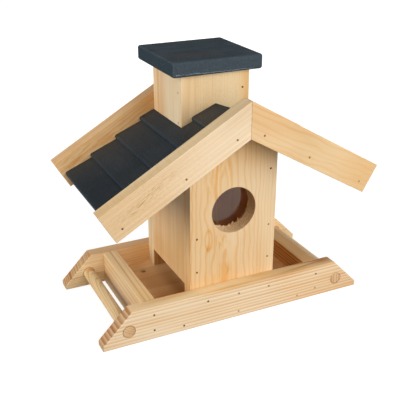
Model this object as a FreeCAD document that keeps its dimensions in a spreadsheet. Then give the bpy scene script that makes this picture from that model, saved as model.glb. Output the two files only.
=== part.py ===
import FreeCAD, Part
import math
import os
import re

import Sketcher

# Hopper bird feeder. X runs along the rails, Y from front to back, Z up.
# The origin is the middle of the floor board's underside. Millimetres and degrees.
SIZES = {
    # hopper
    "hopper_width": 124,
    "hopper_depth": 146,
    "panel_thickness": 19,
    "wall_thickness": 19,
    "wall_height": 174.5,
    "feed_slot_height": 27,
    "window_diameter": 63,
    "window_above_floor": 130,
    "pane_thickness": 2,
    "pane_margin": 10.5,
    "pane_clearance": 1,
    # tray
    "tray_well": 50,
    "floor_thickness": 19,
    "drain_diameter": 6,
    "drain_from_hopper": 21,
    "drain_from_middle": 45,
    "rail_thickness": 19,
    "rail_height": 47,
    "rail_overhang": 58,
    "rail_nose": 7,
    "rail_cut_run": 39,
    "rail_corner_radius": 5,
    "rail_edge_radius": 1.5,
    "batten_thickness": 20,
    "batten_round": 3,
    "perch_diameter": 16,
    "perch_gap": 15,
    "perch_height": 20,
    "perch_clearance": 0.1,
    # roof
    "roof_pitch": 30,
    "roof_thickness": 22,
    "eave_setback": 4.5,
    "front_overhang": 20,
    "course_count": 5,
    "course_step": 5.5,
    "course_nose_radius": 3,
    "ridge_relief": 1,
    "chimney_cutout_clearance": 0.5,
    "bargeboard_length": 221.5,
    "bargeboard_width": 40.5,
    "bargeboard_thickness": 19,
    # chimney and lid
    "chimney_bearing": 5,
    "chimney_setback": 36,
    "chimney_thickness": 19,
    "chimney_height": 95.5,
    "lid_thickness": 19,
    "lid_side_overhang": 14.5,
    "lid_front_overhang": 9.5,
    "lid_back_overhang": 19,
    "lid_corner_radius": 4,
    "lid_edge_radius": 3.2,
    "plug_thickness": 16,
    "plug_clearance": 2,
    # eased edges of the other boards
    "edge_radius": 0.6,
    # nails and tacks
    "nail_diameter": 1.8,
    "nail_head_diameter": 2.8,
    "nail_head_height": 0.9,
    "nail_bite": 13,
    "nail_clearance": 0.05,
    "nail_tip_clearance": 0.5,
    "tack_diameter": 1.6,
    "tack_head_diameter": 5,
    "tack_head_height": 1.2,
    "tack_bite": 10,
    "tack_inset": 5,
    "rail_nail_drop": 11.5,
    "batten_nail_height": 13,
    "batten_nail_inset": 9,
    "panel_base_nail_inset": 16.5,
    "left_floor_nail_inset": 32,
    "right_floor_nail_inset": 20,
    "floor_nail_height": 8,
    "wall_nail_low": 24,
    "wall_nail_middle": 72,
    "left_wall_nail_drop": 14,
    "right_wall_nail_drop": 23,
    "bargeboard_nail_peak": 38,
    "bargeboard_nail_middle": 114,
    "bargeboard_nail_end": 15,
    "chimney_nail_low": 33,
    "chimney_nail_drop": 23.5,
    "roof_nail_ridge": 14,
    "roof_nail_inset": 14,
    "roof_nail_back_inset": 5,
    "plug_nail_inset": 12,
}

# Places that follow from the sizes. Lengths measured down a slope start at the bargeboards' peak.
PLACES = {
    "half_width": "hopper_width / 2",
    "half_depth": "hopper_depth / 2",
    "panel_inside": "half_depth - panel_thickness",
    "wall_inside": "half_width - wall_thickness",
    "wall_bottom": "floor_thickness + feed_slot_height",
    "wall_top": "wall_bottom + wall_height",
    "window_centre": "floor_thickness + window_above_floor",
    "pane_width": "2 * wall_inside - 2 * pane_clearance",
    "pane_height": "window_diameter + 2 * pane_margin",
    "floor_half": "half_width + tray_well",
    "batten_outside": "floor_half + batten_thickness",
    "rail_half": "batten_outside + rail_overhang",
    "rail_top_half": "rail_half - rail_cut_run",
    "rail_face": "half_depth + rail_thickness",
    "perch_middle": "batten_outside + perch_gap + perch_diameter / 2",
    "gable_top": "wall_top + half_width * tan(roof_pitch)",
    "peak": "gable_top + bargeboard_width / cos(roof_pitch)",
    "roof_front": "half_depth + front_overhang",
    "roof_top_drop": "bargeboard_width - roof_thickness",
    "ridge_run": "roof_top_drop * tan(roof_pitch) - ridge_relief",
    "roof_length": "bargeboard_length - eave_setback",
    "course_run": "(roof_length - ridge_run) / course_count",
    "bargeboard_nail_drop": "bargeboard_width - roof_thickness / 2",
    "chimney_half": "wall_inside + chimney_bearing",
    "chimney_front": "chimney_setback - panel_inside",
    "chimney_depth": "half_depth - chimney_front",
    "chimney_top": "wall_top + chimney_height",
    "rail_nail_height": "rail_height - rail_nail_drop",
    "wall_middle": "half_width - wall_thickness / 2",
}

X_AXIS = FreeCAD.Vector(1, 0, 0)
Y_AXIS = FreeCAD.Vector(0, 1, 0)
Z_AXIS = FreeCAD.Vector(0, 0, 1)

os.makedirs("parts", exist_ok=True)
doc = FreeCAD.newDocument("HopperBirdFeeder")

sheet = doc.addObject("Spreadsheet::Sheet", "Sizes")
for row, (name, value) in enumerate(SIZES.items(), start=1):
    sheet.set(f"A{row}", name)
    sheet.set(f"B{row}", str(value))
    sheet.setAlias(f"B{row}", name)
doc.recompute()


def spell(text):
    """Write a formula out in the sheet's own cells."""
    def cell(match):
        word = match.group(0)
        if word in PLACES:
            return "(" + spell(PLACES[word]) + ")"
        return "Sizes." + word if word in SIZES else word
    return re.sub(r"[a-z_]+", cell, text)


def bind(target, path, text):
    target.setExpression(path, spell(text))


def put(target, x="0", y="0", z="0", turn=FreeCAD.Rotation()):
    """Place an object, with each coordinate bound to its formula."""
    target.Placement = FreeCAD.Placement(FreeCAD.Vector(), turn)
    for axis, text in zip("xyz", (x, y, z)):
        if text != "0":
            bind(target, f"Placement.Base.{axis}", text)


def outline(body, role, corners):
    """Closed polygon on one of the body's own planes, two dimensions to each corner."""
    sketch = body.newObject("Sketcher::SketchObject", "Outline")
    plane = next(item for item in body.Origin.OriginFeatures if item.Role == role)
    sketch.AttachmentSupport = (plane, [""])
    sketch.MapMode = "FlatFace"
    count = len(corners)
    ring = [2 * math.pi * k / count for k in range(count)]
    points = [FreeCAD.Vector(math.cos(angle), math.sin(angle), 0) for angle in ring]
    for k in range(count):
        sketch.addGeometry(Part.LineSegment(points[k], points[(k + 1) % count]))
    for k in range(count):
        sketch.addConstraint(Sketcher.Constraint("Coincident", k, 2, (k + 1) % count, 1))
    for k, (across, up) in enumerate(corners):
        for kind, text, axis, start in (
            ("DistanceX", across, -2, points[k].x),
            ("DistanceY", up, -1, points[k].y),
        ):
            if text == "0":
                sketch.addConstraint(Sketcher.Constraint("PointOnObject", k, 1, axis))
            else:
                number = sketch.addConstraint(Sketcher.Constraint(kind, -1, 1, k, 1, start))
                bind(sketch, f"Constraints[{number}]", text)
    return sketch


def pad(body, sketch, length):
    feature = body.newObject("PartDesign::Pad", "Plank")
    feature.Profile = sketch
    bind(feature, "Length", length)
    doc.recompute()
    return feature


def round_edges(body, base, radius, wanted=None):
    """Round every edge of the body, or only those that a test picks."""
    feature = body.newObject("PartDesign::Fillet", "Rounding")
    names = [
        f"Edge{number}"
        for number, edge in enumerate(base.Shape.Edges, start=1)
        if wanted is None or wanted(edge)
    ]
    feature.Base = (base, names)
    feature.UseAllEdges = wanted is None
    bind(feature, "Radius", radius)
    body.Tip = feature
    doc.recompute()
    return feature


def runs_along(edge, axis):
    """True for a straight edge parallel to an axis."""
    if not isinstance(edge.Curve, Part.Line):
        return False
    return abs(edge.Curve.Direction.dot(axis)) > 0.999


def slab(name, profile, thickness, x, y, z="0", turn=FreeCAD.Rotation()):
    """Board cut to an upright outline, its thickness running from y towards the front."""
    body = doc.addObject("PartDesign::Body", name)
    pad(body, outline(body, "XZ_Plane", profile), thickness)
    put(body, x, y, z, turn)
    return body


def plank(name, size, corner, ease=True):
    """Square-cut board, given its three sizes and its lowest corner."""
    long, deep, high = size
    body = doc.addObject("PartDesign::Body", name)
    square = [("0", "0"), (long, "0"), (long, deep), ("0", deep)]
    board = pad(body, outline(body, "XY_Plane", square), high)
    if ease:
        round_edges(body, board, "edge_radius")
    put(body, *corner)
    return body


def cylinder(name, radius, height, x, y, base):
    solid = doc.addObject("Part::Cylinder", name)
    bind(solid, "Radius", radius)
    bind(solid, "Height", height)
    put(solid, x, y, base)
    return solid


def gather(kind, name, members):
    group = doc.addObject(kind, name)
    if kind == "Part::Compound":
        group.Links = members
    else:
        group.Shapes = members
    return group


def nails(name, spots, reach, kind="nail"):
    """Nails driven down from the plane z = 0, and the holes that they sit in."""
    solids = []
    holes = []
    for x, y, *surface in spots:
        top = surface[0] if surface else "0"
        head_base = f"{top} - nail_head_height" if kind == "nail" else top
        head_height = f"{kind}_head_height"
        shank = f"{kind}_diameter / 2"
        head = f"{kind}_head_diameter / 2"
        gap = "nail_clearance"
        tip = f"{reach} + nail_tip_clearance"
        solids.append(cylinder("Shank", shank, reach, x, y, f"{top} - ({reach})"))
        solids.append(cylinder("Head", head, head_height, x, y, head_base))
        holes.append(cylinder("Hole", f"{shank} + {gap}", tip, x, y, f"{top} - ({tip})"))
        if kind == "nail":
            room = "2 * nail_head_height"
            holes.append(cylinder("Recess", f"{head} + {gap}", room, x, y, head_base))
    driven = gather("Part::MultiFuse", name, solids)
    sockets = gather("Part::MultiFuse", f"{name}_holes", holes)
    return driven, sockets


def face(group, x="0", y="0", z="0", turn=FreeCAD.Rotation()):
    """Set nails and their holes on the face that they are driven into."""
    for item in group:
        put(item, x, y, z, turn)


PARTS = {}


def keep(label, blank, cutters=()):
    """Finish a sub-part: take the cutters out of its blank and name it."""
    piece = blank
    if cutters:
        piece = doc.addObject("Part::Cut", label)
        piece.Base = blank
        tools = list(cutters)
        piece.Tool = tools[0] if len(tools) == 1 else gather("Part::Compound", "Cutters", tools)
        blank.Label = f"{label} blank"
    piece.Label = label
    PARTS[label] = piece


# Turns that point the nails' driving direction into each side of the feeder
INTO_FRONT = FreeCAD.Rotation(X_AXIS, 90)
INTO_BACK = FreeCAD.Rotation(Z_AXIS, 180) * INTO_FRONT
INTO_LEFT = FreeCAD.Rotation(Z_AXIS, -90) * INTO_FRONT
INTO_RIGHT = FreeCAD.Rotation(Z_AXIS, 90) * INTO_FRONT
UPWARDS = FreeCAD.Rotation(X_AXIS, 180)
SLOPE = FreeCAD.Rotation(Y_AXIS, 1)

SIDES = {"left": "-1", "right": "1"}
BOTH = ("-1", "1")


# Rail nails: two into each batten, a row into the panel's foot, a row into the floor's edge
rail_spots = []
for side, sign in SIDES.items():
    batten = f"{sign} * (floor_half + batten_nail_inset)"
    rail_spots.append((batten, "batten_nail_height"))
    rail_spots.append((batten, "rail_nail_height"))
    rail_spots.append((f"{sign} * (half_width - panel_base_nail_inset)", "rail_nail_height"))
    rail_spots.append((f"{sign} * (floor_half - {side}_floor_nail_inset)", "floor_nail_height"))
rail_spots.append(("0", "rail_nail_height"))
rail_spots.append(("0", "floor_nail_height"))
rail_reach = "rail_thickness + nail_bite"
front_rail_nails = nails("front_rail_nails", rail_spots, rail_reach)
face(front_rail_nails, y="-(rail_face)", turn=INTO_FRONT)
back_rail_nails = nails("back_rail_nails", rail_spots, rail_reach)
face(back_rail_nails, y="rail_face", turn=INTO_BACK)

# Panel nails: a column into the edge of each side wall
panel_spots = []
for side, sign in SIDES.items():
    wall_edge = f"{sign} * wall_middle"
    panel_spots.append((wall_edge, "wall_bottom + wall_nail_low"))
    panel_spots.append((wall_edge, "wall_bottom + wall_nail_middle"))
    panel_spots.append((wall_edge, f"wall_top - {side}_wall_nail_drop"))
panel_reach = "panel_thickness + nail_bite"
front_panel_nails = nails("front_panel_nails", panel_spots, panel_reach)
face(front_panel_nails, y="-(half_depth)", turn=INTO_FRONT)
back_panel_nails = nails("back_panel_nails", panel_spots, panel_reach)
face(back_panel_nails, y="half_depth", turn=INTO_BACK)

# Bargeboard nails: along the middle of the roof boards' edges
bargeboard_runs = (
    "bargeboard_nail_peak",
    "bargeboard_nail_middle",
    "(bargeboard_length - bargeboard_nail_end)",
)
bargeboard_spots = []
for sign in BOTH:
    for run in bargeboard_runs:
        across = f"{run} * cos(roof_pitch) - bargeboard_nail_drop * sin(roof_pitch)"
        height = f"peak - {run} * sin(roof_pitch) - bargeboard_nail_drop * cos(roof_pitch)"
        bargeboard_spots.append((f"{sign} * ({across})", height))
bargeboard_reach = "bargeboard_thickness + nail_bite"
front_bargeboard_nails = nails("front_bargeboard_nails", bargeboard_spots, bargeboard_reach)
face(front_bargeboard_nails, y="-(roof_front + bargeboard_thickness)", turn=INTO_FRONT)
back_bargeboard_nails = nails("back_bargeboard_nails", bargeboard_spots, bargeboard_reach)
face(back_bargeboard_nails, y="half_depth + bargeboard_thickness", turn=INTO_BACK)

# Roof nails: square to the slope, two into the front panel and one into the back panel
roof_nails = {}
for side, sign in SIDES.items():
    spots = []
    for across, along in (
        ("roof_nail_ridge", "-(half_depth - panel_thickness / 2)"),
        ("half_width - roof_nail_inset", "-(half_depth - panel_thickness / 2)"),
        ("(half_width + chimney_half) / 2", "half_depth - roof_nail_back_inset"),
    ):
        run = f"(({across} + bargeboard_width * sin(roof_pitch)) / cos(roof_pitch))"
        dip = f"course_step * mod(roof_length - {run}; course_run) / course_run"
        spots.append((f"{sign} * {run}", along, f"-(roof_top_drop + {dip})"))
    roof_nails[side] = nails(f"{side}_roof_nails", spots, "roof_thickness + nail_bite")
    face(roof_nails[side], z="peak", turn=SLOPE)
    for item in roof_nails[side]:
        bind(item, "Placement.Rotation.Angle", f"{sign} * roof_pitch")

# Chimney nails: each board is nailed through its face into the end of the next
chimney_heights = ("wall_top + chimney_nail_low", "chimney_top - chimney_nail_drop")
chimney_reach = "chimney_thickness + nail_bite"
chimney_faces = {
    "left": ("-(chimney_front + chimney_thickness / 2)", INTO_LEFT, "-(chimney_half)", "0"),
    "front": ("chimney_half - chimney_thickness / 2", INTO_FRONT, "0", "chimney_front"),
    "right": ("half_depth - chimney_thickness / 2", INTO_RIGHT, "chimney_half", "0"),
    "back": ("chimney_half - chimney_thickness / 2", INTO_BACK, "0", "half_depth"),
}
chimney_sets = []
for name, (along, turn, x, y) in chimney_faces.items():
    spots = [(along, height) for height in chimney_heights]
    group = nails(f"chimney_{name}_nails", spots, chimney_reach)
    face(group, x, y, turn=turn)
    chimney_sets.append(group)
chimney_nails = gather("Part::Compound", "chimney_nails", [driven for driven, _ in chimney_sets])
chimney_holes = gather("Part::Compound", "chimney_nail_holes", [holes for _, holes in chimney_sets])

# Plug nails, driven up into the lid, and the tacks that hold the pane behind the window
plug_half_depth = "(chimney_depth / 2 - chimney_thickness - plug_clearance)"
plug_spots = [("0", f"{sign} * ({plug_half_depth} - plug_nail_inset)") for sign in BOTH]
plug_nails = nails("plug_nails", plug_spots, "plug_thickness + nail_bite")
face(plug_nails, "0", "half_depth - chimney_depth / 2", "chimney_top - plug_thickness", UPWARDS)
tack_spots = [
    (
        f"{across} * (pane_width / 2 - tack_inset)",
        f"window_centre + {up} * (pane_height / 2 - tack_inset)",
    )
    for across in BOTH
    for up in BOTH
]
pane_tacks = nails("pane_tacks", tack_spots, "pane_thickness + tack_bite", "tack")
face(pane_tacks, y="pane_thickness - panel_inside", turn=INTO_BACK)

# Tray floor with its drain holes
drains = [
    cylinder(
        "Drain",
        "drain_diameter / 2",
        "2 * floor_thickness",
        f"{across} * (half_width + drain_from_hopper)",
        f"{along} * drain_from_middle",
        "-floor_thickness / 2",
    )
    for across in BOTH
    for along in BOTH
]
floor = plank(
    "Floor",
    ("2 * floor_half", "hopper_depth", "floor_thickness"),
    ("-(floor_half)", "-(half_depth)", "0"),
)
keep("floor_board", floor, [*drains, front_rail_nails[1], back_rail_nails[1]])

# Perches, and the holes for them through both rails
perch_length = "2 * rail_face"
perch_holes = []
for side, sign in SIDES.items():
    perch = doc.addObject("PartDesign::Body", "Perch")
    circle = perch.newObject("Sketcher::SketchObject", "Outline")
    circle.AttachmentSupport = (
        next(item for item in perch.Origin.OriginFeatures if item.Role == "XZ_Plane"),
        [""],
    )
    circle.MapMode = "FlatFace"
    circle.addGeometry(Part.Circle(FreeCAD.Vector(), Z_AXIS, 1))
    circle.addConstraint(Sketcher.Constraint("Coincident", 0, 3, -1, 1))
    circle.addConstraint(Sketcher.Constraint("Diameter", 0, 1))
    bind(circle, "Constraints[1]", "perch_diameter")
    rod = pad(perch, circle, perch_length)
    round_edges(perch, rod, "edge_radius", lambda edge: isinstance(edge.Curve, Part.Circle))
    put(perch, f"{sign} * perch_middle", "rail_face", "perch_height")
    keep(f"{side}_perch", perch)
    hole = doc.addObject("Part::Cylinder", "PerchHole")
    bind(hole, "Radius", "perch_diameter / 2 + perch_clearance")
    bind(hole, "Height", f"2 * ({perch_length})")
    put(hole, f"{sign} * perch_middle", perch_length, "perch_height", INTO_FRONT)
    perch_holes.append(hole)

# Rails with slanted ends that finish in a short upright nose
rail_profile = [
    ("-(rail_half)", "0"),
    ("rail_half", "0"),
    ("rail_half", "rail_nose"),
    ("rail_top_half", "rail_height"),
    ("-(rail_top_half)", "rail_height"),
    ("-(rail_half)", "rail_nose"),
]
for side, y, group in (
    ("front", "-(half_depth)", front_rail_nails),
    ("back", "rail_face", back_rail_nails),
):
    rail = slab(f"{side}_rail_blank", rail_profile, "rail_thickness", "0", y)
    top = rail.Shape.BoundBox.ZMax - 0.01
    corners = round_edges(
        rail,
        rail.Tip,
        "rail_corner_radius",
        lambda edge: runs_along(edge, Y_AXIS) and edge.BoundBox.ZMin > top,
    )
    round_edges(rail, corners, "rail_edge_radius")
    keep(f"{side}_rail", rail, [*perch_holes, group[1]])

# Battens that close the tray's ends, their outer top edge more rounded than the inner one
for side, sign in SIDES.items():
    batten = plank(
        "Batten",
        ("batten_thickness", "hopper_depth", "rail_height"),
        (f"{sign} * (floor_half + batten_thickness / 2) - batten_thickness / 2", "-(half_depth)", "0"),
        ease=False,
    )
    upper = batten.Tip.Shape.BoundBox.ZMax - 0.01
    middle = batten.Tip.Shape.BoundBox.Center.x

    def on_top(edge, outer):
        beyond = (edge.BoundBox.Center.x - middle) * float(sign) > 0
        return runs_along(edge, Y_AXIS) and edge.BoundBox.ZMin > upper and beyond == outer

    rounded = round_edges(batten, batten.Tip, "batten_round", lambda edge: on_top(edge, True))
    round_edges(batten, rounded, "rail_edge_radius", lambda edge: on_top(edge, False))
    keep(f"{side}_batten", batten, [front_rail_nails[1], back_rail_nails[1]])

# Hopper: gabled front panel with a round window, square back panel, side walls above feed slots
front_profile = [
    ("-(half_width)", "floor_thickness"),
    ("half_width", "floor_thickness"),
    ("half_width", "wall_top"),
    ("0", "gable_top"),
    ("-(half_width)", "wall_top"),
]
front = slab("Front", front_profile, "panel_thickness", "0", "-(panel_inside)")
round_edges(front, front.Tip, "edge_radius")
window = doc.addObject("Part::Cylinder", "Window")
bind(window, "Radius", "window_diameter / 2")
bind(window, "Height", "3 * panel_thickness")
put(window, "0", "panel_thickness - panel_inside", "window_centre", INTO_FRONT)
roof_holes = [roof_nails[side][1] for side in SIDES]
front_holes = [front_rail_nails[1], front_panel_nails[1], pane_tacks[1], *roof_holes]
keep("front_panel", front, [window, *front_holes])
back = plank(
    "Back",
    ("hopper_width", "panel_thickness", "wall_top - floor_thickness"),
    ("-(half_width)", "panel_inside", "floor_thickness"),
)
keep("back_panel", back, [back_rail_nails[1], back_panel_nails[1], *roof_holes])
for side, sign in SIDES.items():
    wall = plank(
        "Wall",
        ("wall_thickness", "2 * panel_inside", "wall_height"),
        (f"{sign} * wall_middle - wall_thickness / 2", "-(panel_inside)", "wall_bottom"),
    )
    keep(f"{side}_wall", wall, [front_panel_nails[1], back_panel_nails[1]])
pane = plank(
    "Pane",
    ("pane_width", "pane_thickness", "pane_height"),
    ("-(pane_width) / 2", "-(panel_inside)", "window_centre - (pane_height) / 2"),
    ease=False,
)
keep("window_pane", pane, [pane_tacks[1]])

# Roof boards milled into stepped courses and cut round the chimney, and their bargeboards
cutout = doc.addObject("Part::Box", "ChimneyCutout")
bind(cutout, "Length", "2 * (chimney_half + chimney_cutout_clearance)")
bind(cutout, "Width", "chimney_depth + 2 * chimney_cutout_clearance")
bind(cutout, "Height", "2 * chimney_height")
put(
    cutout,
    "-(chimney_half + chimney_cutout_clearance)",
    "chimney_front - chimney_cutout_clearance",
    "wall_top - chimney_height / 2",
)
for side, sign in SIDES.items():
    board_profile = [
        (f"{sign} * bargeboard_width * tan(roof_pitch)", "-bargeboard_width"),
        (f"{sign} * (roof_length)", "-bargeboard_width"),
        (f"{sign} * (roof_length)", "-(roof_top_drop)"),
        (f"{sign} * roof_top_drop * tan(roof_pitch)", "-(roof_top_drop)"),
    ]
    board = slab("RoofBoard", board_profile, "roof_front + half_depth", "0", "half_depth", "peak", SLOPE)
    uncut = board.Tip.Shape.Volume
    step_profile = [
        (f"{sign} * (roof_length - course_run)", "-(roof_top_drop) - course_step"),
        (f"{sign} * (roof_length)", "-(roof_top_drop)"),
        (f"{sign} * (roof_length - course_run)", "-(roof_top_drop)"),
    ]
    wedge = outline(board, "XZ_Plane", step_profile)
    course = board.newObject("PartDesign::Pocket", "Course")
    course.Profile = wedge
    course.Type = "ThroughAll"
    course.Reversed = True
    doc.recompute()
    if course.Shape.Volume > uncut - 1:
        raise RuntimeError("the course was not cut")
    courses = board.newObject("PartDesign::LinearPattern", "Courses")
    courses.Originals = [course]
    courses.Direction = (wedge, ["H_Axis"])
    courses.Mode = "Spacing"
    courses.Reversed = side == "right"
    bind(courses, "Offset", "course_run")
    bind(courses, "Occurrences", "course_count")
    board.Tip = courses
    doc.recompute()
    nose_level = board.Tip.Shape.BoundBox.ZMax - 0.01
    round_edges(
        board,
        courses,
        "min(course_nose_radius; 0.8 * course_step)",
        lambda edge: runs_along(edge, Y_AXIS) and edge.BoundBox.ZMin > nose_level,
    )
    bind(board, "Placement.Rotation.Angle", f"{sign} * roof_pitch")
    edge_nails = [front_bargeboard_nails[1], back_bargeboard_nails[1]]
    keep(f"{side}_roof_board", board, [cutout, *edge_nails, roof_nails[side][1]])
    barge_profile = [
        ("0", "0"),
        (f"{sign} * bargeboard_length", "0"),
        (f"{sign} * bargeboard_length", "-bargeboard_width"),
        (f"{sign} * bargeboard_width * tan(roof_pitch)", "-bargeboard_width"),
    ]
    for end, y, group in (
        ("front", "-(roof_front)", front_bargeboard_nails),
        ("back", "half_depth + bargeboard_thickness", back_bargeboard_nails),
    ):
        barge = slab("Bargeboard", barge_profile, "bargeboard_thickness", "0", y, "peak", SLOPE)
        round_edges(barge, barge.Tip, "edge_radius")
        bind(barge, "Placement.Rotation.Angle", f"{sign} * roof_pitch")
        keep(f"{end}_{side}_bargeboard", barge, [group[1]])

# Chimney: four boards, each lapping the end of the next, standing on the walls and the back panel
side_size = ("chimney_thickness", "chimney_depth - chimney_thickness", "chimney_height")
end_size = ("2 * chimney_half - chimney_thickness", "chimney_thickness", "chimney_height")
chimney_boards = {
    "left": (side_size, ("-(chimney_half)", "chimney_front")),
    "front": (end_size, ("chimney_thickness - chimney_half", "chimney_front")),
    "right": (side_size, ("chimney_half - chimney_thickness", "chimney_front + chimney_thickness")),
    "back": (end_size, ("-(chimney_half)", "half_depth - chimney_thickness")),
}
for name, (size, (x, y)) in chimney_boards.items():
    board = plank("ChimneyBoard", size, (x, y, "wall_top"))
    keep(f"chimney_{name}", board, [chimney_holes, back_bargeboard_nails[1]])

# Lift-off lid and the plug that keeps it in the chimney's mouth
lid = doc.addObject("PartDesign::Body", "Lid")
lid_width = "2 * (chimney_half + lid_side_overhang)"
lid_depth = "chimney_depth + lid_front_overhang + lid_back_overhang"
lid_square = [("0", "0"), (lid_width, "0"), (lid_width, lid_depth), ("0", lid_depth)]
lid_plank = pad(lid, outline(lid, "XY_Plane", lid_square), "lid_thickness")
lid_corners = round_edges(lid, lid_plank, "lid_corner_radius", lambda edge: runs_along(edge, Z_AXIS))
round_edges(lid, lid_corners, "lid_edge_radius", lambda edge: edge.BoundBox.ZLength < 0.01)
put(lid, "-(chimney_half + lid_side_overhang)", "chimney_front - lid_front_overhang", "chimney_top")
keep("lid_board", lid, [plug_nails[1]])
plug_half_width = "(chimney_half - chimney_thickness - plug_clearance)"
plug = plank(
    "Plug",
    (f"2 * {plug_half_width}", f"2 * {plug_half_depth}", "plug_thickness"),
    (
        f"-{plug_half_width}",
        f"half_depth - chimney_depth / 2 - {plug_half_depth}",
        "chimney_top - plug_thickness",
    ),
)
keep("lid_plug", plug, [plug_nails[1]])

# Fasteners, each group one node of separate solids
keep("front_rail_nails", front_rail_nails[0])
keep("back_rail_nails", back_rail_nails[0])
keep("front_panel_nails", front_panel_nails[0])
keep("back_panel_nails", back_panel_nails[0])
keep("front_bargeboard_nails", front_bargeboard_nails[0])
keep("back_bargeboard_nails", back_bargeboard_nails[0])
keep("left_roof_nails", roof_nails["left"][0])
keep("right_roof_nails", roof_nails["right"][0])
keep("chimney_nails", chimney_nails)
keep("plug_nails", plug_nails[0])
keep("pane_tacks", pane_tacks[0])

doc.recompute()

# Nothing is written until every object has been built and every sub-part is sound
failed = [item.Label for item in doc.Objects if {"Invalid", "Error"} & set(item.State)]
unsound = [
    label
    for label, piece in PARTS.items()
    if piece.Shape.isNull() or not piece.Shape.isValid() or not piece.Shape.Solids
]
if failed or unsound:
    raise RuntimeError(f"failed objects: {failed}; unsound sub-parts: {unsound}")

for label, piece in PARTS.items():
    piece.Shape.exportStep(f"parts/{label}.step")
    print(label, len(piece.Shape.Solids), round(piece.Shape.Volume, 1))
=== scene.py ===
import math
import random

import bmesh
import bpy
from mathutils import Matrix, Vector


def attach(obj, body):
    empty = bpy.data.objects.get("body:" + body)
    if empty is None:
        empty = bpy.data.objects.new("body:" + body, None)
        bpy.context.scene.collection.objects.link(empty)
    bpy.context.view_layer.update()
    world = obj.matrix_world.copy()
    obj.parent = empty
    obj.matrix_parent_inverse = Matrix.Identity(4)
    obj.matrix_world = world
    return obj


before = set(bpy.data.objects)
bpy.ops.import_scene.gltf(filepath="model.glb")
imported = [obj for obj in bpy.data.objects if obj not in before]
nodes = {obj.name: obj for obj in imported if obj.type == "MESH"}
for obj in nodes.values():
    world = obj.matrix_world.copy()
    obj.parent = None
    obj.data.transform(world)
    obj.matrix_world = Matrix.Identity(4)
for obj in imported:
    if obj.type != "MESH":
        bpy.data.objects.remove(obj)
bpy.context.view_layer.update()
scene = bpy.context.scene
print("frame loaded:", len(nodes), "nodes")


# small helpers for building shader trees

def addNode(tree, kind, **settings):
    node = tree.nodes.new(kind)
    for name, value in settings.items():
        setattr(node, name, value)
    return node


def feed(tree, socket, value):
    if isinstance(value, bpy.types.NodeSocket):
        tree.links.new(value, socket)
    else:
        socket.default_value = value


def calc(tree, operation, *values, clamp=False):
    node = addNode(tree, "ShaderNodeMath", operation=operation, use_clamp=clamp)
    for socket, value in zip(node.inputs, values):
        feed(tree, socket, value)
    return node.outputs[0]


def vectorCalc(tree, operation, *values):
    node = addNode(tree, "ShaderNodeVectorMath", operation=operation)
    for socket, value in zip(node.inputs, values):
        feed(tree, socket, value)
    return node.outputs["Value" if operation in ("LENGTH", "DOT_PRODUCT") else "Vector"]


def ramp(tree, value, low, high, toLow=0.0, toHigh=1.0):
    node = addNode(tree, "ShaderNodeMapRange", interpolation_type="SMOOTHSTEP")
    feed(tree, node.inputs["Value"], value)
    feed(tree, node.inputs["From Min"], low)
    feed(tree, node.inputs["From Max"], high)
    feed(tree, node.inputs["To Min"], toLow)
    feed(tree, node.inputs["To Max"], toHigh)
    return node.outputs["Result"]


def blendColour(tree, factor, first, second, mode="MIX"):
    node = addNode(tree, "ShaderNodeMix", data_type="RGBA", blend_type=mode)
    feed(tree, node.inputs[0], factor)
    feed(tree, node.inputs[6], first)
    feed(tree, node.inputs[7], second)
    return node.outputs[2]


# the colour itself where the mask is 0, the colour times the tint where it is 1
def tinted(tree, mask, colour, tint):
    return blendColour(tree, mask, colour, blendColour(tree, 1.0, colour, tint, "MULTIPLY"))


def noise(tree, vector, scale, detail):
    node = addNode(tree, "ShaderNodeTexNoise")
    feed(tree, node.inputs["Vector"], vector)
    feed(tree, node.inputs["Scale"], scale)
    feed(tree, node.inputs["Detail"], detail)
    return node.outputs


def stretchedNoise(tree, vector, stretch, detail):
    return noise(tree, vectorCalc(tree, "MULTIPLY", vector, stretch), 1.0, detail)


# noise is spread about this level
noiseMiddle = (0.5, 0.5, 0.5)


# bell curve of a squared distance
def bell(tree, squared):
    return calc(tree, "EXPONENT", calc(tree, "MULTIPLY", squared, -1.0))


def newGroup(name, inputs, outputs):
    tree = bpy.data.node_groups.new(name, "ShaderNodeTree")
    kinds = {"float": "NodeSocketFloat", "vector": "NodeSocketVector", "colour": "NodeSocketColor"}
    for label, kind in inputs.items():
        tree.interface.new_socket(name=label, in_out="INPUT", socket_type=kinds[kind])
    for label, kind in outputs.items():
        tree.interface.new_socket(name=label, in_out="OUTPUT", socket_type=kinds[kind])
    return tree, addNode(tree, "NodeGroupInput").outputs, addNode(tree, "NodeGroupOutput").inputs


def useGroup(tree, group, values):
    node = addNode(tree, "ShaderNodeGroup", node_tree=group)
    for label, value in values.items():
        feed(tree, node.inputs[label], value)
    return node.outputs


def newMaterial(name):
    material = bpy.data.materials.new(name)
    material.use_nodes = True
    material.node_tree.nodes.clear()
    return material, material.node_tree


def endTree(tree, shader, kind="ShaderNodeOutputMaterial"):
    feed(tree, addNode(tree, kind).inputs["Surface"], shader.outputs[0])


def principled(tree, values):
    shader = addNode(tree, "ShaderNodeBsdfPrincipled")
    for label, value in values.items():
        feed(tree, shader.inputs[label], value)
    endTree(tree, shader)


def bumped(tree, height, strength, distance):
    bump = addNode(tree, "ShaderNodeBump")
    feed(tree, bump.inputs["Strength"], strength)
    feed(tree, bump.inputs["Distance"], distance)
    feed(tree, bump.inputs["Height"], height)
    return bump.outputs[0]


# colour as written, made linear for a socket
def srgb(text):
    parts = [int(text[i:i + 2], 16) / 255 for i in (1, 3, 5)]
    linear = [c / 12.92 if c <= 0.04045 else ((c + 0.055) / 1.055) ** 2.4 for c in parts]
    return (*linear, 1.0)


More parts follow.
